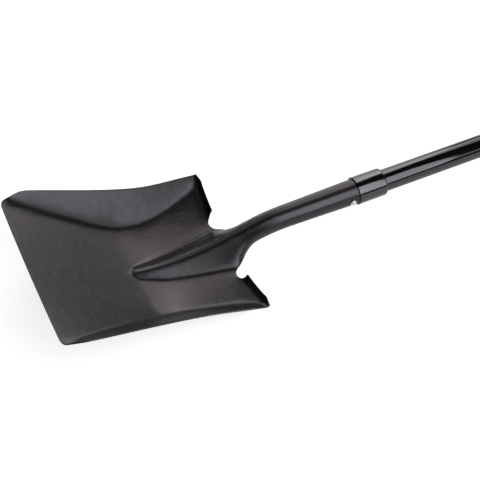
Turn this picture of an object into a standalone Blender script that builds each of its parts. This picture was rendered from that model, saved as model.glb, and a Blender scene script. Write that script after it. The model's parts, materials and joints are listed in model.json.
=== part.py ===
"""Long handled square shovel: one pressed steel head on a fibreglass handle.

Sizes are in metres. The head is modelled in its own blade frame: x runs back from the cutting edge, y
across the blade and z out of its hollow face. The other pieces lie on the handle's axis, which is the
x axis of the handle frame, with x = 0 at the collar's front rim.
"""
import math

import bmesh
import bpy

# Blade outline, seen from above
FLOOR_LENGTH = 0.2836
EDGE_WIDTH = 0.2366
SHOULDER_WIDTH = 0.2512
WAIST_WIDTH = 0.2282
REAR_WIDTH = 0.2424
SHOULDER_BACK = 0.0285
WAIST_BACK = 0.1900
CORNER_RADIUS = 0.0056
SHEET = 0.0018

# Dish of the floor and rise of the folded sides
FRONT_SLOPE = math.radians(12.8)
REAR_SLOPE = math.radians(18.3)
KNEE_BACK = 0.1840
KNEE_SOFTNESS = 0.0300
EDGE_DIP = 0.0020
EDGE_CROWN_RADIUS = 2.3000
KNEE_CROWN_RADIUS = 1.1000
REAR_CROWN_RADIUS = 0.4000
CREASE_WIDTH_FRONT = 0.2320
CREASE_WIDTH_WAIST = 0.1566
CREASE_WIDTH_REAR = 0.2080
CREASE_WAIST_BACK = 0.1800
CREASE_SOFTNESS = 0.0055
SIDE_FLARE = 5.0
SHOULDER_RISE = 0.0108
WAIST_RISE = 0.0078
REAR_RISE = 0.0158

# Frog, the hollow ridge that runs from the blade into the neck
FROG_TIP_BACK = 0.1515
FROG_TIP_WIDTH = 0.0270
FROG_WAIST_BACK = 0.2130
FROG_WAIST_WIDTH = 0.0515
FROG_REAR_WIDTH = 0.0757
NOSE_LENGTH = 0.0140
NOSE_HEIGHT = 0.0062
FROG_SHANK_BACK = 0.2570
FROG_SHANK_HEIGHT = 0.0200
FROG_REAR_HEIGHT = 0.0327

# Section of the frog, as parts of its height and of its half width
FROG_CREST_SOFTNESS = 0.18
FROG_FOOT_SOFTNESS = 0.18
FROG_FULLNESS = 0.285
FROG_CREST_SHARE = 0.24

# Notches beside the neck, and the turned step
NOTCH_RADIUS = 0.0130
NOTCH_SPACING = 0.0920
STEP_BEND_RADIUS = 0.0050
STEP_ANGLE = math.radians(80.0)
STEP_FLANGE = 0.0100
STEP_CORNER_RADIUS = 0.0060
STEP_OUTER_RISE = 0.0035

# Neck and socket
LIFT = math.radians(20.1)
EDGE_ABOVE_AXIS = 0.0782
EDGE_TO_COLLAR = 0.4661
NECK_DEPTH = 0.0276
NECK_FOOT_WIDTH = 0.0677
NECK_ROOT_RADIUS = 0.0280
NECK_RADIUS = 0.0161
NECK_RISE = math.radians(28.55)
NECK_CLOSING_LENGTH = 0.0422
NECK_TURNING_LENGTH = 0.0993
NECK_FOOT_LENGTH = 0.0707
NECK_SHRINK_LENGTH = 0.0242
SOCKET_LENGTH = 0.1080
SOCKET_IN_COLLAR = 0.0140
SEAM_GAP = 0.0014

# Handle, core, collar, rivet and end cap
HANDLE_RADIUS = 0.0159
HANDLE_WALL = 0.0036
HANDLE_LEAST_WALL = 0.0012
HANDLE_IN_SOCKET = 0.0950
HANDLE_BEYOND_COLLAR = 1.0000
CORE_LENGTH = 0.1500
COLLAR_WALL = 0.0014
COLLAR_LENGTH = 0.0439
COLLAR_LIP = 0.0004
COLLAR_LIP_WIDTH = 0.0020
COLLAR_ROUND = 0.0030
RIVET_TO_COLLAR = 0.0107
RIVET_SHANK_RADIUS = 0.0031
RIVET_HEAD_RADIUS = 0.0047
RIVET_HEAD_HEIGHT = 0.0020
CAP_LENGTH = 0.0600
CAP_WALL = 0.0020
CAP_END = 0.0060
CAP_ROUND = 0.0025
CAP_LIP = 0.0006
SOCKET_FIT = 0.0004
CLEARANCE = 0.0003

# The shovel lies within this tilt of level
STEEPEST_LIE = math.radians(10.0)

# How finely curves are cut into facets
CORNER_ROWS = 3
SHOULDER_ROWS = 2
BLADE_ROWS = 7
NOSE_ROWS = 6
SHANK_ROWS = 9
BEND_ROWS = 3
FLANGE_ROWS = 1
CREST_CELLS = 3
FLANK_CELLS = 3
FILLET_CELLS = 4
FROG_CELLS = CREST_CELLS + FLANK_CELLS + FILLET_CELLS
FOOT_CELLS = 2
FLOOR_CELLS = 3
CREASE_CELLS = 5
WALL_CELLS = 3
NOTCH_ROWS = 4
NECK_ROWS = 13
SOCKET_ROWS = 3
ROUND_SIDES = 32
RIVET_SIDES = 16
ARC_STEPS = 4
LIE_HALVINGS = 50
WELD_DISTANCE = 0.00001
SHARP_ANGLE = math.radians(35.0)


def clear_scene():
    for item in list(bpy.data.objects):
        bpy.data.objects.remove(item, do_unlink=True)


def finish(name, colour, roughness, metallic):
    made = bpy.data.materials.new(name)
    made.use_nodes = True
    shader = made.node_tree.nodes["Principled BSDF"]
    shader.inputs["Base Color"].default_value = (*colour, 1.0)
    shader.inputs["Roughness"].default_value = roughness
    shader.inputs["Metallic"].default_value = metallic
    return made


def powder_coat():
    return finish("black_powder_coat", (0.020, 0.019, 0.019), 0.45, 0.0)


def gel_coat():
    return finish("black_gel_coat", (0.004, 0.004, 0.004), 0.12, 0.0)


def moulded_nylon():
    return finish("black_moulded_nylon", (0.006, 0.006, 0.006), 0.15, 0.0)


def dowel_wood():
    return finish("dowel_wood", (0.45, 0.28, 0.13), 0.60, 0.0)


def zinc_plate():
    return finish("zinc_plate", (0.70, 0.70, 0.68), 0.35, 1.0)


def cap_rubber():
    return finish("cap_rubber", (0.010, 0.010, 0.010), 0.55, 0.0)


def smoothstep(value):
    held = min(max(value, 0.0), 1.0)
    return held * held * (3.0 - 2.0 * held)


def mix(low, high, share):
    return low + (high - low) * share


def through(stations, x):
    """Value at x of a smooth curve through stations given as (x, value)."""
    if x <= stations[0][0]:
        return stations[0][1]
    if x >= stations[-1][0]:
        return stations[-1][1]
    last = len(stations) - 1
    slopes = []
    for index in range(last + 1):
        before = stations[max(index - 1, 0)]
        after = stations[min(index + 1, last)]
        slopes.append((after[1] - before[1]) / (after[0] - before[0]))
    index = max(number for number in range(last) if stations[number][0] < x)
    (start, low), (end, high) = stations[index], stations[index + 1]
    part = (x - start) / (end - start)
    leaving = (slopes[index] * (end - start) - (high - low)) * (1.0 - part)
    arriving = (slopes[index + 1] * (end - start) - (high - low)) * part
    return mix(low, high, part) + part * (1.0 - part) * (leaving - arriving)


def spread(stops, counts):
    """Stations that cut each stretch between two stops into the given number of steps."""
    stations = [stops[0]]
    for start, end, count in zip(stops, stops[1:], counts):
        stations += [mix(start, end, step / count) for step in range(1, count + 1)]
    return stations


# Shape of the blade

def floor_line(x):
    """Height of the floor on the centre line: two flat reaches that meet at a soft knee."""
    fall = -math.tan(FRONT_SLOPE)
    rise = math.tan(REAR_SLOPE)

    def bent(at):
        from_knee = at - KNEE_BACK
        return (rise + fall) / 2 * from_knee + (rise - fall) / 2 * math.hypot(from_knee, KNEE_SOFTNESS)

    return bent(x) - bent(0.0) - EDGE_DIP


def crown_bend(x):
    """Bend of the floor across the blade, as one over its radius."""
    stations = [
        (0.0, 1 / EDGE_CROWN_RADIUS),
        (KNEE_BACK, 1 / KNEE_CROWN_RADIUS),
        (FLOOR_LENGTH, 1 / REAR_CROWN_RADIUS),
    ]
    return through(stations, x)


def floor_height(x, y):
    return floor_line(x) + crown_bend(x) * y * y / 2


def crease_half_width(x):
    stations = [
        (0.0, CREASE_WIDTH_FRONT / 2),
        (CREASE_WAIST_BACK, CREASE_WIDTH_WAIST / 2),
        (FLOOR_LENGTH, CREASE_WIDTH_REAR / 2),
    ]
    return through(stations, x)


def rim_half_width(x):
    """Half width at the rim: a corner cut back to the shoulder, then a long hollow side."""
    if x < SHOULDER_BACK:
        return mix(EDGE_WIDTH, SHOULDER_WIDTH, x / SHOULDER_BACK) / 2
    stations = [
        (SHOULDER_BACK, SHOULDER_WIDTH / 2),
        (WAIST_BACK, WAIST_WIDTH / 2),
        (FLOOR_LENGTH, REAR_WIDTH / 2),
    ]
    return through(stations, x)


def round_off(size, over):
    """How far a corner of the given radius has cut in, at a distance past the start of its arc."""
    held = min(max(over, 0.0), size)
    return size - math.sqrt(size**2 - held**2)


def rim_height(x):
    if x < SHOULDER_BACK:
        return SHOULDER_RISE * x / SHOULDER_BACK
    stations = [(SHOULDER_BACK, SHOULDER_RISE), (WAIST_BACK, WAIST_RISE), (FLOOR_LENGTH, REAR_RISE)]
    return through(stations, x)


def crease_rise(beyond):
    return (beyond + math.hypot(beyond, CREASE_SOFTNESS)) / 2


def flared(rise):
    """The side leans out more towards its rim."""
    return rise - SIDE_FLARE * rise**2


def nose_share(x):
    """Blunt start of the frog: 0 at its tip and 1 behind its nose, as a quarter circle."""
    part = min(max((x - FROG_TIP_BACK) / NOSE_LENGTH, 0.0), 1.0)
    return math.sqrt(part * (2.0 - part))


def frog_half_width(x):
    """Half width of the frog behind its nose, and of the strip of floor that leads to it."""
    stations = [
        (FROG_TIP_BACK, FROG_TIP_WIDTH / 2),
        (FROG_WAIST_BACK, FROG_WAIST_WIDTH / 2),
        (FLOOR_LENGTH, FROG_REAR_WIDTH / 2),
    ]
    return through(stations, x)


def frog_height(x):
    stations = [
        (FROG_TIP_BACK, NOSE_HEIGHT / 2),
        (FROG_TIP_BACK + NOSE_LENGTH, NOSE_HEIGHT),
        (FROG_SHANK_BACK, FROG_SHANK_HEIGHT),
        (FLOOR_LENGTH, FROG_REAR_HEIGHT),
    ]
    return through(stations, x) * nose_share(x)


def ridge(share, fullness):
    """Cross-section of the frog, from 1 on its crest to 0 at its foot.

    Two flanks meet in a tight crest and run out into the floor in a fillet. The fuller the section, the
    more they bulge.
    """
    reach = math.hypot(1.0, FROG_CREST_SOFTNESS) - FROG_CREST_SOFTNESS
    straight = (math.hypot(share, FROG_CREST_SOFTNESS) - FROG_CREST_SOFTNESS) / reach
    above = 1.0 - (1.0 + FROG_FOOT_SOFTNESS) * mix(straight, share**2, fullness)
    if above > FROG_FOOT_SOFTNESS:
        return above
    return max(above + FROG_FOOT_SOFTNESS, 0.0)**2 / (4 * FROG_FOOT_SOFTNESS)


def frog_shares():
    """Places across the frog, from its crest at 0 to its foot at 1, at which a row has its points."""
    stops = [0.0, FROG_CREST_SHARE, 1.0 - FROG_CREST_SHARE, 1.0]
    return spread(stops, [CREST_CELLS, FLANK_CELLS, FILLET_CELLS])


def frog_point(x, share):
    """Point of the frog's cross-section, from its crest at share 0 to its foot at share 1."""
    y = frog_half_width(x) * share
    if nose_share(x) == 0.0:
        return x, y, floor_height(x, y)
    fullness = FROG_FULLNESS * smoothstep((x - FROG_TIP_BACK) / (FLOOR_LENGTH - FROG_TIP_BACK))
    return x, y, floor_height(x, y) + frog_height(x) * ridge(share / nose_share(x), fullness)


def blade_height(x, y):
    side = abs(y)
    height = floor_height(x, y)
    rim = rim_half_width(x)
    crease = crease_half_width(x)
    fold = (rim_height(x) - floor_height(x, rim)) / flared(crease_rise(rim - crease))
    return height + fold * flared(crease_rise(side - crease))


def blade_columns(x, inner, rim):
    """Distances from the centre line at which a row has its points, from the frog's foot to the rim.

    inner is where the outer floor begins: the line of the notches, or a notch's own edge.
    """
    outside = min(crease_half_width(x) + CREASE_SOFTNESS, rim - CREASE_SOFTNESS)
    inside = max(outside - 2 * CREASE_SOFTNESS, (inner + outside) / 2)
    columns = spread([frog_half_width(x), NOTCH_SPACING / 2], [FOOT_CELLS])[:-1]
    return columns + spread([inner, inside, outside, rim], [FLOOR_CELLS, CREASE_CELLS, WALL_CELLS])


# Shape of the step, the neck and the socket

def step_length():
    return STEP_BEND_RADIUS * (STEP_ANGLE - REAR_SLOPE) + STEP_FLANGE


def step_path(along):
    """How far the step has gone back and up after a length of sheet measured from the bend's start."""
    turned = min(along / STEP_BEND_RADIUS, STEP_ANGLE - REAR_SLOPE)
    straight = along - turned * STEP_BEND_RADIUS
    angle = REAR_SLOPE + turned
    back = STEP_BEND_RADIUS * (math.sin(angle) - math.sin(REAR_SLOPE)) + straight * math.cos(angle)
    up = STEP_BEND_RADIUS * (math.cos(REAR_SLOPE) - math.cos(angle)) + straight * math.sin(angle)
    return back, up


def notch_reach(along):
    """Half width of the round notch at a distance behind its front."""
    from_centre = NOTCH_RADIUS - along
    if from_centre <= 0.0:
        return NOTCH_RADIUS
    return math.sqrt(NOTCH_RADIUS**2 - from_centre**2)


def step_row(along):
    """Points of one half of a row across the turned step."""
    corner = step_length() - STEP_CORNER_RADIUS
    rim = rim_half_width(FLOOR_LENGTH) - round_off(STEP_CORNER_RADIUS, along - corner)
    inner = NOTCH_SPACING / 2 + notch_reach(along)
    columns = blade_columns(FLOOR_LENGTH, inner, rim)[FOOT_CELLS:]
    back, up = step_path(along)
    outer_share = STEP_OUTER_RISE / step_path(step_length())[1]
    crease = crease_half_width(FLOOR_LENGTH)
    points = []
    for y in columns:
        outward = smoothstep((y - crease) / (rim_half_width(FLOOR_LENGTH) - crease))
        lift = up * mix(1.0, outer_share, outward)
        points.append((FLOOR_LENGTH + back, y, blade_height(FLOOR_LENGTH, y) + lift))
    return points


def mouth_radius():
    return HANDLE_RADIUS + SOCKET_FIT + SHEET


def collar_radius():
    return mouth_radius() + CLEARANCE + COLLAR_WALL


def socket_radius(along):
    """Outer radius of the socket at a place on the handle's axis."""
    part = min(max((along + SOCKET_LENGTH) / SOCKET_LENGTH, 0.0), 1.0)
    return mix(NECK_RADIUS, mouth_radius(), part)


def from_handle_frame(along, above):
    """Blade frame x and z of a point in the handle frame's middle plane."""
    back = along + EDGE_TO_COLLAR
    over = above - EDGE_ABOVE_AXIS
    return (
        back * math.cos(LIFT) - over * math.sin(LIFT),
        back * math.sin(LIFT) + over * math.cos(LIFT),
    )


def neck_ends():
    """Ends of the neck's crest: where the frog stops and where the round socket starts."""
    start = (FLOOR_LENGTH, floor_line(FLOOR_LENGTH) + FROG_REAR_HEIGHT)
    return start, from_handle_frame(-SOCKET_LENGTH, NECK_RADIUS)


def neck_crest(share):
    """Crest of the neck, a cubic curve from the frog's end to the socket's start, and its slope."""
    start, end = neck_ends()
    arriving = LIFT + math.atan((mouth_radius() - NECK_RADIUS) / SOCKET_LENGTH)
    pull = math.dist(start, end) / 2
    near = (start[0] + pull * math.cos(NECK_RISE), start[1] + pull * math.sin(NECK_RISE))
    far = (end[0] - pull * math.cos(arriving), end[1] - pull * math.sin(arriving))
    rest = 1.0 - share
    point = []
    run = []
    for a, b, c, d in zip(start, near, far, end):
        point.append(rest**3 * a + 3 * rest**2 * share * b + 3 * rest * share**2 * c + share**3 * d)
        run.append(rest**2 * (b - a) + 2 * rest * share * (c - b) + share**2 * (d - c))
    return point, math.atan2(run[1], run[0])


def neck_row(share, cells):
    """Half section of the neck: an open arch at the blade that closes into a tube at the socket."""
    (crest_x, crest_z), slope = neck_crest(share)
    gone = share * math.dist(*neck_ends())
    tilt = mix(smoothstep(gone / NECK_TURNING_LENGTH) * slope, LIFT, smoothstep(share))
    closing = smoothstep(gone / NECK_CLOSING_LENGTH)
    opening = smoothstep(gone / NECK_SHRINK_LENGTH)
    radius = mix(NECK_ROOT_RADIUS, NECK_RADIUS, opening)
    depth = mix(FROG_REAR_HEIGHT, NECK_DEPTH, opening)
    foot = mix(FROG_REAR_WIDTH, NECK_FOOT_WIDTH, smoothstep(gone / NECK_FOOT_LENGTH)) / 2
    crown = crown_bend(FLOOR_LENGTH) / 2 * (1.0 - closing)
    foot_x = crest_x + depth * math.sin(tilt)
    reach = max(NOTCH_SPACING / 2 - notch_reach(foot_x - FLOOR_LENGTH), foot) / foot
    even = smoothstep(gone / NOTCH_RADIUS)
    turn = math.pi - SEAM_GAP / (2 * radius)
    shares = frog_shares() + spread([1.0, reach], [FOOT_CELLS])[1:]
    points = []
    for index, blade_share in enumerate(shares):
        across = mix(blade_share, reach * index / cells, even)
        angle = turn * across / reach
        y = mix(foot * across, radius * math.sin(angle), closing)
        drop = mix(depth * (1.0 - ridge(across, FROG_FULLNESS)), radius * (1.0 - math.cos(angle)), closing)
        drop -= crown * (foot * across) ** 2
        points.append((crest_x + drop * math.sin(tilt), y, crest_z - drop * math.cos(tilt)))
    return points


def socket_row(along, cells):
    """Half section of the round socket at a place on the handle's axis."""
    radius = socket_radius(along)
    turn = math.pi - SEAM_GAP / (2 * radius)
    points = []
    for index in range(cells + 1):
        angle = turn * index / cells
        x, z = from_handle_frame(along, radius * math.cos(angle))
        points.append((x, radius * math.sin(angle), z))
    return points


# The head's sheet

def mirrored(points):
    return [(x, -y, z) for x, y, z in reversed(points[1:])] + points


def add_rows(sheet, rows):
    for near, far in zip(rows, rows[1:]):
        for left in range(len(near) - 1):
            sheet.faces.new((near[left], far[left], far[left + 1], near[left + 1]))


def add_points(sheet, points):
    return [sheet.verts.new(point) for point in points]


def head_sheet():
    """The front of the pressed sheet, as one grid that parts at the notches."""
    sheet = bmesh.new()
    nose_end = FROG_TIP_BACK + NOSE_LENGTH
    stops = [0.0, CORNER_RADIUS, SHOULDER_BACK, FROG_TIP_BACK, nose_end, FLOOR_LENGTH]
    split = FROG_CELLS + FOOT_CELLS
    rows = []
    for x in spread(stops, [CORNER_ROWS, SHOULDER_ROWS, BLADE_ROWS, NOSE_ROWS, SHANK_ROWS]):
        rim = rim_half_width(x) - round_off(CORNER_RADIUS, CORNER_RADIUS - x)
        half = [frog_point(x, share) for share in frog_shares()[:-1]]
        half += [(x, y, blade_height(x, y)) for y in blade_columns(x, NOTCH_SPACING / 2, rim)]
        rows.append(add_points(sheet, mirrored(half)))
    add_rows(sheet, rows)

    rear = rows[-1]
    middle = len(rear) // 2
    bend = STEP_BEND_RADIUS * (STEP_ANGLE - REAR_SLOPE)
    corner = step_length() - STEP_CORNER_RADIUS
    turned = spread([0.0, bend, corner, step_length()], [BEND_ROWS, FLANGE_ROWS, CORNER_ROWS])[1:]
    for side in (1, -1):
        edge = rear[middle + split:] if side > 0 else rear[middle - split::-1]
        halves = [edge]
        for along in turned:
            halves.append(add_points(sheet, [(x, side * y, z) for x, y, z in step_row(along)]))
        if side < 0:
            halves = [half[::-1] for half in halves]
        add_rows(sheet, halves)

    neck = [rear[middle - split:middle + split + 1]]
    close_rows = NOTCH_RADIUS / math.dist(*neck_ends())
    for share in spread([0.0, close_rows, 1.0], [NOTCH_ROWS, NECK_ROWS])[1:-1]:
        neck.append(add_points(sheet, mirrored(neck_row(share, split))))
    for along in spread([-SOCKET_LENGTH, 0.0, SOCKET_IN_COLLAR], [SOCKET_ROWS, 1]):
        neck.append(add_points(sheet, mirrored(socket_row(along, split))))
    add_rows(sheet, neck)
    return sheet


def place_on_axis(item, parent):
    item.parent = parent
    bpy.context.collection.objects.link(item)
    return item


def new_object(name, shape, coat, parent):
    """Turn a bmesh into a smooth shaded object of the assembly."""
    bmesh.ops.recalc_face_normals(shape, faces=shape.faces)
    mesh = bpy.data.meshes.new(name)
    shape.to_mesh(mesh)
    shape.free()
    mesh.materials.append(coat)
    mesh.shade_smooth()
    mesh.set_sharp_from_angle(angle=SHARP_ANGLE)
    return place_on_axis(bpy.data.objects.new(name, mesh), parent)


def drill(item, cutter):
    hole = item.modifiers.new("rivet_hole", "BOOLEAN")
    hole.operation = "DIFFERENCE"
    hole.object = cutter
    clean = item.modifiers.new("clean", "WELD")
    clean.merge_threshold = WELD_DISTANCE


def build_head(parent, cutter):
    head = new_object("head", head_sheet(), powder_coat(), parent)
    head.location = (-EDGE_TO_COLLAR, 0.0, EDGE_ABOVE_AXIS)
    head.rotation_euler = (0.0, LIFT, 0.0)
    wall = head.modifiers.new("sheet", "SOLIDIFY")
    wall.thickness = SHEET
    wall.offset = -1.0
    wall.use_even_offset = True
    drill(head, cutter)
    return head


# Turned pieces on the handle's axis

def turned_shape(profile, sides, closed):
    """Spin a profile of (along, radius) points about x; a closed profile makes a ring."""
    shape = bmesh.new()
    corners = [shape.verts.new((along, 0.0, radius)) for along, radius in profile]
    edges = [shape.edges.new(pair) for pair in zip(corners, corners[1:])]
    if closed:
        edges.append(shape.edges.new((corners[-1], corners[0])))
    bmesh.ops.spin(
        shape,
        geom=corners + edges,
        cent=(0.0, 0.0, 0.0),
        axis=(1.0, 0.0, 0.0),
        angle=math.tau,
        steps=sides,
        use_merge=True,
    )
    bmesh.ops.remove_doubles(shape, verts=shape.verts, dist=WELD_DISTANCE)
    return shape


def round_corner(along, radius, size):
    """Quarter arc of a profile about a centre, from its widest point to its end."""
    points = []
    for step in range(ARC_STEPS + 1):
        angle = math.pi / 2 * (1.0 - step / ARC_STEPS)
        points.append((along + size * math.cos(angle), radius + size * math.sin(angle)))
    return points


def handle_taper(along):
    return min(HANDLE_RADIUS, socket_radius(along) - SHEET - SOCKET_FIT)


def handle_bore():
    return min(HANDLE_RADIUS - HANDLE_WALL, handle_taper(-HANDLE_IN_SOCKET) - HANDLE_LEAST_WALL)


def build_handle(parent, cutter):
    start = -HANDLE_IN_SOCKET
    bore = handle_bore()
    profile = [
        (start, bore),
        (start, handle_taper(start)),
        (0.0, HANDLE_RADIUS),
        (HANDLE_BEYOND_COLLAR, HANDLE_RADIUS),
        (HANDLE_BEYOND_COLLAR, bore),
    ]
    handle = new_object("handle_shaft", turned_shape(profile, ROUND_SIDES, True), gel_coat(), parent)
    drill(handle, cutter)
    return handle


def build_core(parent, cutter):
    start = -HANDLE_IN_SOCKET
    radius = handle_bore() - CLEARANCE
    profile = [(start, 0.0), (start, radius), (start + CORE_LENGTH, radius), (start + CORE_LENGTH, 0.0)]
    core = new_object("core_plug", turned_shape(profile, ROUND_SIDES, False), dowel_wood(), parent)
    drill(core, cutter)
    return core


def build_collar(parent):
    front = mouth_radius() + CLEARANCE
    rear = HANDLE_RADIUS + CLEARANCE
    seat = SOCKET_IN_COLLAR + CLEARANCE
    outer = collar_radius()
    lip = outer + COLLAR_LIP
    profile = [
        (0.0, front),
        (0.0, lip),
        (COLLAR_LIP_WIDTH, lip),
        (COLLAR_LIP_WIDTH + COLLAR_LIP, outer),
    ]
    rounding = min(COLLAR_ROUND, outer - rear - CLEARANCE)
    profile += round_corner(COLLAR_LENGTH - rounding, outer - rounding, rounding)
    profile += [(COLLAR_LENGTH, rear), (seat, rear), (seat, front)]
    return new_object("collar", turned_shape(profile, ROUND_SIDES, True), moulded_nylon(), parent)


def build_cap(parent):
    bore = HANDLE_RADIUS + CLEARANCE
    outer = bore + CAP_WALL
    floor = HANDLE_BEYOND_COLLAR + CLEARANCE
    end = floor + CAP_END
    start = end - CAP_LENGTH
    lip = outer + CAP_LIP
    rounding = min(CAP_ROUND, outer / 2)
    profile = [
        (floor, 0.0),
        (floor, bore),
        (start, bore),
        (start, lip),
        (start + CAP_END / 2, lip),
        (start + CAP_END / 2 + CAP_LIP, outer),
    ]
    profile += round_corner(end - rounding, outer - rounding, rounding)
    profile += [(end, 0.0)]
    return new_object("end_cap", turned_shape(profile, ROUND_SIDES, False), cap_rubber(), parent)


def build_rivet(parent):
    """One rivet across the socket, domed at both ends."""
    seat = socket_radius(-RIVET_TO_COLLAR) + CLEARANCE
    dome = []
    for step in range(ARC_STEPS + 1):
        angle = math.pi / 2 * step / ARC_STEPS
        reach = seat + RIVET_HEAD_HEIGHT * math.sin(angle)
        dome.append((reach, RIVET_HEAD_RADIUS * math.cos(angle) if step < ARC_STEPS else 0.0))
    end = [(seat, RIVET_SHANK_RADIUS)] + dome
    profile = [(-along, radius) for along, radius in reversed(end)] + end
    rivet = new_object("socket_rivet", turned_shape(profile, RIVET_SIDES, False), zinc_plate(), parent)
    rivet.location = (-RIVET_TO_COLLAR, 0.0, 0.0)
    rivet.rotation_euler = (0.0, 0.0, math.radians(90.0))
    return rivet


def rivet_hole_cutter(parent):
    reach = mouth_radius() + RIVET_HEAD_HEIGHT
    radius = RIVET_SHANK_RADIUS + CLEARANCE
    profile = [(-reach, 0.0), (-reach, radius), (reach, radius), (reach, 0.0)]
    shape = turned_shape(profile, RIVET_SIDES, False)
    cutter = new_object("rivet_hole_cutter", shape, zinc_plate(), parent)
    cutter.location = (-RIVET_TO_COLLAR, 0.0, 0.0)
    cutter.rotation_euler = (0.0, 0.0, math.radians(90.0))
    cutter.hide_render = True
    cutter.display_type = "WIRE"
    return cutter


# How the shovel lies: on the heel of the blade and the end cap

def world_points(item):
    bpy.context.view_layer.update()
    seen = item.evaluated_get(bpy.context.evaluated_depsgraph_get())
    return [seen.matrix_world @ vertex.co for vertex in seen.data.vertices]


def lay_down(frame, head, cap):
    """Tilt the assembly until its heel and its end cap are level, and put its middle on the origin."""
    heel = world_points(head)
    end = world_points(cap)

    def lowest(points, tilt):
        return min(point.x * math.sin(tilt) + point.z * math.cos(tilt) for point in points)

    low, high = -STEEPEST_LIE, STEEPEST_LIE
    for _ in range(LIE_HALVINGS):
        tilt = (low + high) / 2
        if lowest(end, tilt) < lowest(heel, tilt):
            low = tilt
        else:
            high = tilt
    frame.rotation_euler = (0.0, -tilt, 0.0)
    reach = [point.x for point in world_points(head) + world_points(cap)]
    frame.location = (-(min(reach) + max(reach)) / 2, 0.0, -lowest(heel, tilt))


def build_shovel():
    clear_scene()
    frame = bpy.data.objects.new("handle_frame", None)
    bpy.context.collection.objects.link(frame)
    cutter = rivet_hole_cutter(frame)
    head = build_head(frame, cutter)
    build_collar(frame)
    build_handle(frame, cutter)
    build_core(frame, cutter)
    build_rivet(frame)
    cap = build_cap(frame)
    lay_down(frame, head, cap)


build_shovel()
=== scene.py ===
import json
import math

import bpy
from mathutils import Matrix, Vector


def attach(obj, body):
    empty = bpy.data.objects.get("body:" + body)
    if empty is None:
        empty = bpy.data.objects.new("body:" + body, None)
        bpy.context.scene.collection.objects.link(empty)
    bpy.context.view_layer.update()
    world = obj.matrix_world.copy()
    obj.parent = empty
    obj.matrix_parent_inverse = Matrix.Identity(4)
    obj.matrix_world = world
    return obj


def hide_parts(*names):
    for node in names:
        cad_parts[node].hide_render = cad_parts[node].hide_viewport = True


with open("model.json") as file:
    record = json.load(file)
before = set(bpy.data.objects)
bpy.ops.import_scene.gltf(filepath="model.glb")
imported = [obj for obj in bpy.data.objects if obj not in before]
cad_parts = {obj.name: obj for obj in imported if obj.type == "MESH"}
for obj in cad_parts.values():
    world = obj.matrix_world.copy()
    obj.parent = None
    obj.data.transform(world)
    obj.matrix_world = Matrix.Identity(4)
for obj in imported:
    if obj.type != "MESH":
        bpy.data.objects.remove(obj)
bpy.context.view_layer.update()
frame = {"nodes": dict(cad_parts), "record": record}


# The head is one pressing of 1.8 mm sheet steel: blade, frog, steps, neck and rolled socket together.
# It is trimmed after forming and then powder coated, so its cut edges are softly rounded. One rivet
# goes through its socket, 10.7 mm in front of the collar.
MERGE = 0.00001
SHEET_EDGE_ROUND = 0.0004
SHARP = math.radians(40)
CUT_EDGE = math.radians(60)
CAP_TO_COLLAR = 1.0063
PATCH_REACH = 0.036
PATCH_ANGLE = math.radians(16.5)
PATCH_RIM_EDGES = 6
PATCH_SPAN = 2
FROG_TIP = -0.595
BLADE_REAR = -0.440
WALL_FOOT = 0.060
EASING_STEPS = 11
SUBDIVISIONS = 2


def handle_axis():
    """Matrix of the handle's axis: x runs along it from the collar's front rim to the end cap."""
    end = frame["record"]["mounts"][0]
    along = Vector(end["axis"]).normalized()
    across = Vector((0, 1, 0))
    up = along.cross(across)
    start = Vector(end["pos_m"]) - along * CAP_TO_COLLAR
    return Matrix.Translation(start) @ Matrix((along, across, up)).transposed().to_4x4()


def only(piece):
    """Select this piece alone."""
    bpy.ops.object.select_all(action="DESELECT")
    piece.select_set(True)
    bpy.context.view_layer.objects.active = piece


def apply(piece, kind, **settings):
    """Finish a piece with one modifier, applied at once."""
    only(piece)
    made = piece.modifiers.new(kind.lower(), kind)
    for name, value in settings.items():
        setattr(made, name, value)
    bpy.ops.object.modifier_apply(modifier=made.name)


def clear(*parts):
    """Unselect a mesh's vertices, edges or faces."""
    for part in parts:
        part.foreach_set("select", [False] * len(part))


head = bpy.data.objects.new("pressed_head", frame["nodes"]["head"].data.copy())
bpy.context.collection.objects.link(head)
only(head)
bpy.ops.object.mode_set(mode="EDIT")
bpy.ops.mesh.select_all(action="SELECT")
bpy.ops.mesh.remove_doubles(threshold=MERGE)
bpy.ops.mesh.select_mode(type="FACE")
bpy.ops.mesh.select_all(action="DESELECT")
bpy.ops.object.mode_set(mode="OBJECT")

# Under the rivet's two heads the socket's wall is closed again, or its hole would pucker the wall.
to_axis = handle_axis().inverted()
for face in head.data.polygons:
    middle = to_axis @ face.center
    from_side = abs(math.atan2(abs(middle.y), middle.z) - math.pi / 2)
    face.select = -PATCH_REACH < middle.x < 0 and from_side < PATCH_ANGLE
bpy.ops.object.mode_set(mode="EDIT")
bpy.ops.mesh.delete(type="FACE")
bpy.ops.mesh.select_mode(type="EDGE")
# On each side, the wall's inner rim lies nearer the axis. It is filled first, and then the outer rim.
for side in (-1, -1, 1, 1):
    bpy.ops.mesh.select_all(action="DESELECT")
    bpy.ops.mesh.select_non_manifold()
    bpy.ops.object.mode_set(mode="OBJECT")
    rims = []
    for edge in head.data.edges:
        first, second = (head.data.vertices[index].co for index in edge.vertices)
        middle = to_axis @ ((first + second) / 2)
        if edge.select and middle.y * side > 0:
            rims.append((math.hypot(middle.y, middle.z), edge.index))
    clear(head.data.vertices, head.data.edges)
    for _, index in sorted(rims)[:PATCH_RIM_EDGES]:
        head.data.edges[index].select = True
    bpy.ops.object.mode_set(mode="EDIT")
    bpy.ops.mesh.fill_grid(span=PATCH_SPAN)
bpy.ops.mesh.select_all(action="SELECT")
bpy.ops.mesh.tris_convert_to_quads(face_threshold=CUT_EDGE, shape_threshold=math.pi)
bpy.ops.mesh.select_all(action="DESELECT")
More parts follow.
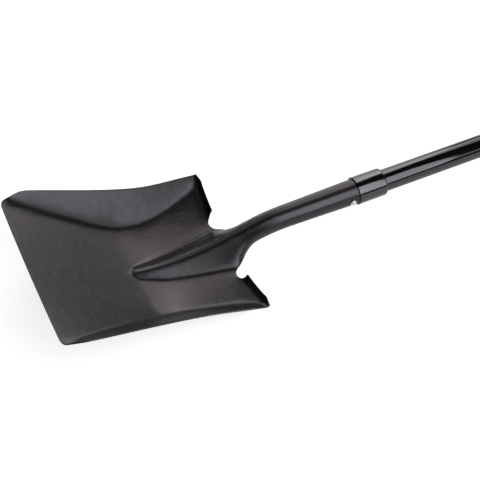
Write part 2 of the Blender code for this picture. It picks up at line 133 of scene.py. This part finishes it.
bpy.ops.mesh.edges_select_sharp(sharpness=CUT_EDGE)
bpy.ops.transform.edge_crease(value=1.0)
bpy.ops.object.mode_set(mode="OBJECT")

# The press leaves no crease where frog, walls and steps run out of the blade's floor, so these folds are
# eased. Only the tip of the frog stays crisp.
for corner in head.data.vertices:
    folded = corner.co.x > FROG_TIP or abs(corner.co.y) > WALL_FOOT
    corner.select = corner.co.x < BLADE_REAR and folded and not corner.select
clear(head.data.edges, head.data.polygons)
bpy.context.tool_settings.mesh_select_mode = (True, False, False)
bpy.ops.object.mode_set(mode="EDIT")
bpy.ops.mesh.vertices_smooth(factor=0.5, repeat=EASING_STEPS)
bpy.ops.object.mode_set(mode="OBJECT")
apply(head, "SUBSURF", levels=SUBDIVISIONS, render_levels=SUBDIVISIONS)
apply(head, "BEVEL", width=SHEET_EDGE_ROUND, segments=2, limit_method="ANGLE", angle_limit=CUT_EDGE)
bpy.ops.object.shade_smooth_by_angle(angle=SHARP)


def linear(code):
    """Linear colour of an sRGB hex code."""
    parts = [int(code[at:at + 2], 16) / 255 for at in (1, 3, 5)]
    return (*(part / 12.92 if part <= 0.04045 else ((part + 0.055) / 1.055) ** 2.4 for part in parts), 1)


def add(material, kind, settings, links):
    """One node with its settings, and its inputs linked from other nodes' outputs."""
    tree = material.node_tree
    node = tree.nodes.new(kind)
    for name, value in settings.items():
        if isinstance(name, int) or name in node.inputs:
            node.inputs[name].default_value = value
        else:
            setattr(node, name, value)
    for name, (source, output) in links.items():
        tree.links.new(source.outputs[output], node.inputs[name])
    return node


def finish(piece, name):
    """A new material on a piece, its shader, and the piece's own coordinates in metres."""
    made = bpy.data.materials.new(name)
    made.use_nodes = True
    if piece.material_slots:
        piece.material_slots[0].material = made
    else:
        piece.data.materials.append(made)
    place = (add(made, "ShaderNodeTexCoord", {}, {}), "Object")
    return made, made.node_tree.nodes["Principled BSDF"], place


def noise(material, place, size, **settings):
    """Noise whose largest spots are about this size in metres."""
    return add(material, "ShaderNodeTexNoise", {"Scale": 1 / size, **settings}, {"Vector": place})


def remap(material, source, old=(0, 1), new=(0, 1)):
    """A value carried from its old range over to a new one."""
    limits = dict(zip(("From Min", "From Max", "To Min", "To Max"), (*old, *new)))
    return add(material, "ShaderNodeMapRange", limits, {"Value": source})


def bump(material, height, strength, distance, **links):
    """Fine relief from a height, with its depth in metres."""
    settings = {"Strength": strength, "Distance": distance}
    return add(material, "ShaderNodeBump", settings, {"Height": height, **links})


def two_tone(material, source, first, last):
    """Colour that goes from one sRGB hex code to another as a value rises."""
    ramp = add(material, "ShaderNodeValToRGB", {}, {"Fac": source})
    ramp.color_ramp.elements[0].color = linear(first)
    ramp.color_ramp.elements[1].color = linear(last)
    return ramp


def set_shader(material, shader, settings, links):
    """The shader's fixed values, and the sockets that nodes drive."""
    for name, value in settings.items():
        shader.inputs[name].default_value = value
    for name, (source, output) in links.items():
        material.node_tree.links.new(source.outputs[output], shader.inputs[name])


# Satin black powder coat, sprayed and baked. Its pebbled skin, drawn here at 1.6 mm where the real one
# is nearer 0.5 mm, spreads each reflection into a soft sheen, and slow ripples from the press make the
# gloss wander. Its rounded edges are painted a lighter grey in pebbled flecks, a painted highlight.
PEBBLE = 0.0016
RIPPLE = 0.0120
DRIFT = 0.0500
coat, shader, place = finish(head, "powder_coat_satin_black")
pebbles = noise(coat, place, PEBBLE, Detail=3.0, Roughness=0.6)
ripples = noise(coat, place, RIPPLE, Detail=2.0)
clouds = noise(coat, place, DRIFT, Detail=4.0)
surface = add(coat, "ShaderNodeNewGeometry", {}, {})
# Painted highlight: the coat's colour turns lighter grey on its rounded edges, broken up by the pebbles.
edges = remap(coat, (surface, "Pointiness"), old=(0.53, 0.60))
grain = remap(coat, (pebbles, "Fac"), old=(0.45, 0.65))
edge_highlight_mask = add(coat, "ShaderNodeMath", {"operation": "MULTIPLY"},
             {0: (edges, "Result"), 1: (grain, "Result")})
tint = two_tone(coat, (pebbles, "Fac"), "#0c090b", "#161112")
coat_with_edge_highlight = add(coat, "ShaderNodeMixRGB", {"Color2": linear("#3a3637")},
           {"Fac": (edge_highlight_mask, "Value"), "Color1": (tint, "Color")})
shine = remap(coat, (clouds, "Fac"), new=(0.27, 0.33))
waves = bump(coat, (ripples, "Fac"), 0.5, 0.00060)
skin = bump(coat, (pebbles, "Fac"), 0.35, 0.00012, Normal=(waves, "Normal"))
set_shader(coat, shader, {"IOR": 1.55, "Specular Tint": (1, 0.90, 0.97, 1)},
           {"Base Color": (coat_with_edge_highlight, "Color"), "Roughness": (shine, "Result"), "Normal": (skin, "Normal")})
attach(head, "root")
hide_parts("head")


# The core is a turned hardwood dowel, glued into the tube to stiffen it where the rivet squeezes it.
# Its growth rings lie about 2.5 mm apart, and its pores are drawn out along the grain. At scale 1, a
# wave texture repeats every pi / 10 m.
WAVE_REPEAT = math.pi / 10
RING = 0.0025
PORE = 0.0006
GRAIN_STRETCH = 30
core = frame["nodes"]["core_plug"]
wood, shader, place = finish(core, "turned_hardwood_dowel")
drawn = add(wood, "ShaderNodeMapping", {"Scale": (1 / GRAIN_STRETCH, 1, 1)}, {"Vector": place})
rings = add(wood, "ShaderNodeTexWave",
            {"bands_direction": "Y", "Scale": WAVE_REPEAT / RING, "Distortion": 3.0, "Detail": 2.0,
             "Detail Scale": 1.5}, {"Vector": (drawn, "Vector")})
pores = noise(wood, (drawn, "Vector"), PORE, Detail=2.0)
timber = two_tone(wood, (rings, "Fac"), "#c39c66", "#dcbd8a")
flecks = remap(wood, (pores, "Fac"), old=(0.35, 0.50), new=(0.75, 1))
figure = add(wood, "ShaderNodeMixRGB", {"blend_type": "MULTIPLY", "Fac": 1.0},
             {"Color1": (timber, "Color"), "Color2": (flecks, "Result")})
dull = remap(wood, (rings, "Fac"), new=(0.50, 0.70))
fibre = bump(wood, (pores, "Fac"), 0.4, 0.00010)
set_shader(wood, shader, {}, {"Base Color": (figure, "Color"), "Roughness": (dull, "Result"),
                              "Normal": (fibre, "Normal")})


# The handle is a pultruded fibreglass tube, 31.8 mm across, in glossy black gel coat. Its end is ground
# to the socket's taper and driven in.
ROUND_SIDES = 128
HANDLE_RADIUS = 0.0159
HANDLE_TAPER_RADIUS = 0.0141
HANDLE_BORE = 0.0123
HANDLE_IN_SOCKET = 0.095
HANDLE_BEYOND_COLLAR = 1.0
HANDLE_EDGE_ROUND = 0.0005


def turned(name, profile, closed):
    """A round piece drawn out ring by ring from a circle, through profile points (along, radius).

    A closed profile makes a tube with walls, and an open one is capped at both ends.
    """
    (last, radius), *others = profile
    bpy.ops.object.select_all(action="DESELECT")
    bpy.ops.mesh.primitive_circle_add(
        vertices=ROUND_SIDES, radius=radius, location=(last, 0, 0), rotation=(0, math.pi / 2, 0))
    piece = bpy.context.object
    piece.name = name
    bpy.ops.object.transform_apply()
    bpy.ops.object.mode_set(mode="EDIT")
    bpy.ops.mesh.select_mode(type="EDGE")
    bpy.ops.mesh.select_all(action="SELECT")
    if closed:
        others.append(profile[0])
    else:
        bpy.ops.mesh.edge_face_add()
    for along, reach in others:
        bpy.ops.mesh.extrude_edges_move(TRANSFORM_OT_translate={"value": (along - last, 0, 0)})
        growth = reach / radius
        bpy.ops.transform.resize(value=(1, growth, growth), center_override=(along, 0, 0))
        last, radius = along, reach
    if not closed:
        bpy.ops.mesh.edge_face_add()
    bpy.ops.mesh.select_all(action="SELECT")
    bpy.ops.mesh.remove_doubles(threshold=MERGE)
    bpy.ops.mesh.normals_make_consistent(inside=False)
    bpy.ops.object.mode_set(mode="OBJECT")
    return piece


def onto_axis(piece):
    """Move a turned piece onto the handle's axis, and smooth it."""
    only(piece)
    piece.matrix_world = handle_axis()
    bpy.ops.object.transform_apply()
    bpy.ops.object.shade_smooth_by_angle(angle=SHARP)


handle = turned("gel_coated_tube", [
    (-HANDLE_IN_SOCKET, HANDLE_BORE),
    (-HANDLE_IN_SOCKET, HANDLE_TAPER_RADIUS),
    (0, HANDLE_RADIUS),
    (HANDLE_BEYOND_COLLAR, HANDLE_RADIUS),
    (HANDLE_BEYOND_COLLAR, HANDLE_BORE),
], True)
apply(handle, "BEVEL", width=HANDLE_EDGE_ROUND, segments=3, limit_method="ANGLE", angle_limit=CUT_EDGE)
onto_axis(handle)

# Black gel coat, smooth off the die: a deep black with a mirror gloss, very slightly drawn along the
# tube by the glass strands under it, and a little duller in patches from hands.
STRAND = 0.0030
STRAND_STRETCH = 40
HAND_PATCH = 0.09
gel, shader, place = finish(handle, "black_gel_coat")
drawn = add(gel, "ShaderNodeMapping", {"Scale": (1 / STRAND_STRETCH, 1, 1)}, {"Vector": place})
strands = noise(gel, (drawn, "Vector"), STRAND, Detail=1.0)
hands = noise(gel, place, HAND_PATCH, Detail=4.0)
depth = two_tone(gel, (strands, "Fac"), "#020202", "#060606")
polish = remap(gel, (hands, "Fac"), old=(0.35, 0.65), new=(0.055, 0.095))
drag = bump(gel, (strands, "Fac"), 0.12, 0.00005)
set_shader(gel, shader, {"IOR": 1.6, "Specular IOR Level": 0.60, "Specular Tint": (1, 0.94, 0.98, 1)},
           {"Base Color": (depth, "Color"), "Roughness": (polish, "Result"), "Normal": (drag, "Normal")})
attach(handle, "root")
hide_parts("handle_shaft")


# The collar is a moulded nylon ferrule, pushed over the joint of socket and tube. It has a thin lip at
# its front rim and a rounded rear rim.
COLLAR_BORE = 0.0184
COLLAR_REAR_BORE = 0.0162
COLLAR_RADIUS = 0.0198
COLLAR_LIP = 0.0004
COLLAR_LIP_WIDTH = 0.0020
COLLAR_LENGTH = 0.0439
COLLAR_SEAT = 0.0143
COLLAR_ROUND = 0.0030


def rounded(along, radius, size):
    """Profile points of an outer corner, from its widest point round to its end."""
    turns = [math.radians(turn) for turn in range(0, 91, 10)]
    return [(along - size + size * math.sin(turn), radius - size + size * math.cos(turn))
            for turn in turns]


collar = turned("nylon_collar", [
    (0, COLLAR_BORE),
    (0, COLLAR_RADIUS + COLLAR_LIP / 2),
    (COLLAR_LIP / 2, COLLAR_RADIUS + COLLAR_LIP),
    (COLLAR_LIP_WIDTH, COLLAR_RADIUS + COLLAR_LIP),
    (COLLAR_LIP_WIDTH + COLLAR_LIP, COLLAR_RADIUS),
    *rounded(COLLAR_LENGTH, COLLAR_RADIUS, COLLAR_ROUND),
    (COLLAR_LENGTH, COLLAR_REAR_BORE),
    (COLLAR_SEAT, COLLAR_REAR_BORE),
    (COLLAR_SEAT, COLLAR_BORE),
], True)
onto_axis(collar)

# Black nylon from a polished mould: glossy, with the faint waviness of a shrunk moulding and light
# rubbing where it has been handled.
SHRINK_WAVE = 0.0060
RUB = 0.0100
nylon, shader, place = finish(collar, "moulded_black_nylon")
swell = noise(nylon, place, SHRINK_WAVE, Detail=1.0)
rubs = noise(nylon, place, RUB, Detail=6.0)
dye = two_tone(nylon, (rubs, "Fac"), "#030203", "#080708")
gloss = remap(nylon, (rubs, "Fac"), old=(0.35, 0.70), new=(0.08, 0.14))
wavy = bump(nylon, (swell, "Fac"), 0.15, 0.00008)
set_shader(nylon, shader, {"IOR": 1.6, "Specular IOR Level": 0.75, "Specular Tint": (1, 0.94, 0.98, 1)},
           {"Base Color": (dye, "Color"), "Roughness": (gloss, "Result"), "Normal": (wavy, "Normal")})
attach(collar, "root")
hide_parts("collar")


# One zinc plated rivet goes across through socket, tube and core. Both of its heads are low domes with
# a small dimple from the setting tool.
RIVET_TO_COLLAR = 0.0107
RIVET_SEAT = 0.0182
RIVET_SHANK = 0.0031
RIVET_HEAD = 0.0047
RIVET_DOME = 0.0020
DIMPLE_RIM = 0.0019
DIMPLE_RADIUS = 0.0013
DIMPLE_DEPTH = 0.0005
DIMPLE_FLOOR_RADIUS = 0.00078
head_half = [(RIVET_SEAT, RIVET_SHANK)]
for turn in range(0, 71, 10):
    rise = RIVET_DOME * math.sin(math.radians(turn))
    head_half.append((RIVET_SEAT + rise, RIVET_HEAD * math.cos(math.radians(turn))))
head_half += [
    (RIVET_SEAT + DIMPLE_RIM, DIMPLE_RADIUS),
    (RIVET_SEAT + DIMPLE_RIM - DIMPLE_DEPTH, DIMPLE_FLOOR_RADIUS),
]
other_half = [(-reach, radius) for reach, radius in reversed(head_half)]
rivet = turned("plated_rivet", other_half + head_half, False)
only(rivet)
rivet.rotation_euler = (0, 0, math.pi / 2)
rivet.location = (-RIVET_TO_COLLAR, 0, 0)
bpy.ops.object.transform_apply()
onto_axis(rivet)

# Bright zinc plate: pale silver, softly brushed by the setting tool, with fine darker specks.
SPECK = 0.0007
plate, shader, place = finish(rivet, "bright_zinc_plate")
specks = noise(plate, place, SPECK, Detail=4.0)
silver = two_tone(plate, (specks, "Fac"), "#c4c4c2", "#f2f2f0")
brushed = remap(plate, (specks, "Fac"), new=(0.28, 0.42))
tooled = bump(plate, (specks, "Fac"), 0.3, 0.00005)
set_shader(plate, shader, {"Metallic": 1.0}, {
    "Base Color": (silver, "Color"), "Roughness": (brushed, "Result"), "Normal": (tooled, "Normal")})
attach(rivet, "root")
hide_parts("socket_rivet")


# The cap is a soft moulded cup, pushed over the tube's far end. It has a bead round its mouth, four
# shallow grip grooves and a rounded end.
CAP_FLOOR = 1.0003
CAP_BORE = 0.0162
CAP_RADIUS = 0.0182
CAP_BEAD = 0.0006
CAP_BEAD_WIDTH = 0.0030
CAP_END = 0.0060
CAP_LENGTH = 0.0600
CAP_ROUND = 0.0025
GROOVES = 4
GROOVE_STEP = 0.0060
GROOVE_WIDTH = 0.0024
GROOVE_DEPTH = 0.0006
cap_end = CAP_FLOOR + CAP_END
mouth = cap_end - CAP_LENGTH
grooves = []
for number in range(GROOVES):
    start = mouth + CAP_BEAD_WIDTH + GROOVE_STEP * (number + 1)
    grooves += [
        (start, CAP_RADIUS),
        (start + GROOVE_WIDTH / 4, CAP_RADIUS - GROOVE_DEPTH),
        (start + GROOVE_WIDTH * 3 / 4, CAP_RADIUS - GROOVE_DEPTH),
        (start + GROOVE_WIDTH, CAP_RADIUS),
    ]
cap = turned("end_cap_rubber", [
    (CAP_FLOOR, CAP_BORE),
    (mouth, CAP_BORE),
    (mouth, CAP_RADIUS),
    (mouth + CAP_BEAD, CAP_RADIUS + CAP_BEAD),
    (mouth + CAP_BEAD_WIDTH, CAP_RADIUS + CAP_BEAD),
    (mouth + CAP_BEAD_WIDTH + CAP_BEAD, CAP_RADIUS),
    *grooves,
    *rounded(cap_end, CAP_RADIUS, CAP_ROUND),
], False)
onto_axis(cap)

# Matt black rubber with the fine sandblasted skin of its mould and a little pale dust in patches.
MOULD_GRAIN = 0.0008
DUST = 0.0080
rubber, shader, place = finish(cap, "moulded_black_rubber")
blasted = noise(rubber, place, MOULD_GRAIN, Detail=3.0)
dusty = noise(rubber, place, DUST, Detail=5.0)
bloom = two_tone(rubber, (dusty, "Fac"), "#161616", "#242322")
bloom.color_ramp.elements[0].position = 0.45
matt = remap(rubber, (dusty, "Fac"), new=(0.50, 0.66))
skin = bump(rubber, (blasted, "Fac"), 0.4, 0.00010)
set_shader(rubber, shader, {},
           {"Base Color": (bloom, "Color"), "Roughness": (matt, "Result"), "Normal": (skin, "Normal")})
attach(cap, "root")
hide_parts("end_cap")


# The shovel lies on a pale paper floor, which is lit like the shovel and keeps its faint shadow. A glow
# added for the camera brings the paper round it up to white. Reflections get less of that glow, so the
# floor is clearly dimmer in them.
FLOOR_SIZE = 12.0
FLOOR_GLOW = 0.70
REFLECTED_GLOW = 0.30
bpy.ops.object.select_all(action="DESELECT")
bpy.ops.mesh.primitive_plane_add(size=FLOOR_SIZE, location=(0, 0, 0))
floor = bpy.context.object
floor.name = "pale_floor"
paper, shader, _ = finish(floor, "white_paper")
rays = add(paper, "ShaderNodeLightPath", {}, {})
shown = add(paper, "ShaderNodeMath", {"operation": "MAXIMUM"},
            {0: (rays, "Is Glossy Ray"), 1: (rays, "Is Transmission Ray")})
mirrored = add(paper, "ShaderNodeMath", {"operation": "MULTIPLY", 1: REFLECTED_GLOW},
               {0: (shown, "Value")})
glow = add(paper, "ShaderNodeMath", {"operation": "MULTIPLY_ADD", 1: FLOOR_GLOW},
           {0: (rays, "Is Camera Ray"), 2: (mirrored, "Value")})
set_shader(paper, shader,
           {"Base Color": linear("#f2f2f2"), "Roughness": 0.9, "Specular IOR Level": 0.0,
            "Emission Color": (1, 1, 1, 1)}, {"Emission Strength": (glow, "Value")})


# Light: three tall softboxes stand in front of the handle and two behind it, and wide panels face the
# blade from the right, the front and the far side. The front softboxes are slightly cooler. A lamp of
# brightness 1 has a face 4 / pi times as bright as full white.
COOL = (0.95, 1.0, 1.05)
WATTS_PER_SQUARE_METRE = 4
FRONT_Y = -1.385
FRONT_Z = 1.41
FRONT_TILT = 53.1
FRONT_HEIGHT = 2.2
REAR_TILT = -63.4
PANEL_DISTANCE = 4.0
BLADE = Vector((-0.6, 0, 0.05))


def softbox(name, centre, tilt, size, brightness, colour=(1, 1, 1)):
    """Area light with a face of this size and brightness."""
    lamp = bpy.data.lights.new(name, "AREA")
    lamp.color = colour
    lamp.shape = "RECTANGLE"
    lamp.size, lamp.size_y = size
    lamp.energy = brightness * WATTS_PER_SQUARE_METRE * size[0] * size[1]
    box = bpy.data.objects.new(name, lamp)
    bpy.context.collection.objects.link(box)
    box.location = centre
    box.rotation_euler = (math.radians(tilt), 0, 0)
    box.visible_camera = False
    return box


def panel(name, azimuth, elevation, spread, brightness):
    """Softbox that faces the blade, placed round it by a compass angle and a height in degrees."""
    turn, rise = math.radians(azimuth), math.radians(elevation)
    away = Vector((math.cos(rise) * math.cos(turn), math.cos(rise) * math.sin(turn), math.sin(rise)))
    size = [2 * PANEL_DISTANCE * math.tan(math.radians(angle / 2)) for angle in spread]
    box = softbox(name, BLADE + PANEL_DISTANCE * away, 0, size, brightness)
    box.rotation_euler = away.to_track_quat("Z", "Y").to_euler()


for side, x, width, brightness in (("left", 0.10, 0.40, 2.4), ("middle", 0.40, 0.20, 4.0),
                                   ("right", 0.70, 0.40, 2.4)):
    softbox("front_" + side, (x, FRONT_Y, FRONT_Z), FRONT_TILT, (width, FRONT_HEIGHT), brightness, COOL)
softbox("rear_left", (0.05, 1.97, 0.4945), REAR_TILT, (0.90, 1.03), 1.40)
softbox("rear_right", (0.70, 1.74, 0.955), REAR_TILT, (0.40, 2.06), 0.92)
panel("front_high", -82, 62, (20, 30), 1.0)
panel("side_front_high", -25, 32, (20, 12), 1.5)
panel("side_front_low", -45, 20, (20, 12), 0.87)
panel("side_rear", 37, 30, (26, 34), 1.22)
panel("side_far", 57, 32, (14, 36), 1.3)
panel("high_rear", 55, 56, (20, 12), 1.5)
panel("far_fill", 112, 48, (44, 32), 0.6)


# The studio is almost dark, so the black pieces show deep reflections. Only the camera sees white past
# the floor's edge.
STUDIO_LEVEL = 0.03
world = bpy.data.worlds.new("dark_studio")
bpy.context.scene.world = world
world.use_nodes = True
rays = add(world, "ShaderNodeLightPath", {}, {})
level = remap(world, (rays, "Is Camera Ray"), new=(STUDIO_LEVEL, 1))
set_shader(world, world.node_tree.nodes["Background"], {"Color": (1, 1, 1, 1)},
           {"Strength": (level, "Result")})


# The camera stands high on the near side of the blade and looks down across the shovel. Its three axes
# and its place were found by fitting the view to the handle and both sides of the blade.
camera = bpy.data.objects.new("camera", bpy.data.cameras.new("camera"))
bpy.context.collection.objects.link(camera)
camera.data.lens = 90
right = (0.9077, -0.4194, 0.0129)
up = (0.3323, 0.7372, 0.5883)
back = (-0.2562, -0.5297, 0.8085)
stand = (-0.8672, -0.8721, 1.3413)
camera_axes = Matrix((right, up, back)).transposed().to_4x4()
camera.matrix_world = Matrix.Translation(stand) @ camera_axes
bpy.context.scene.camera = camera
bpy.context.scene.view_settings.view_transform = "Standard"
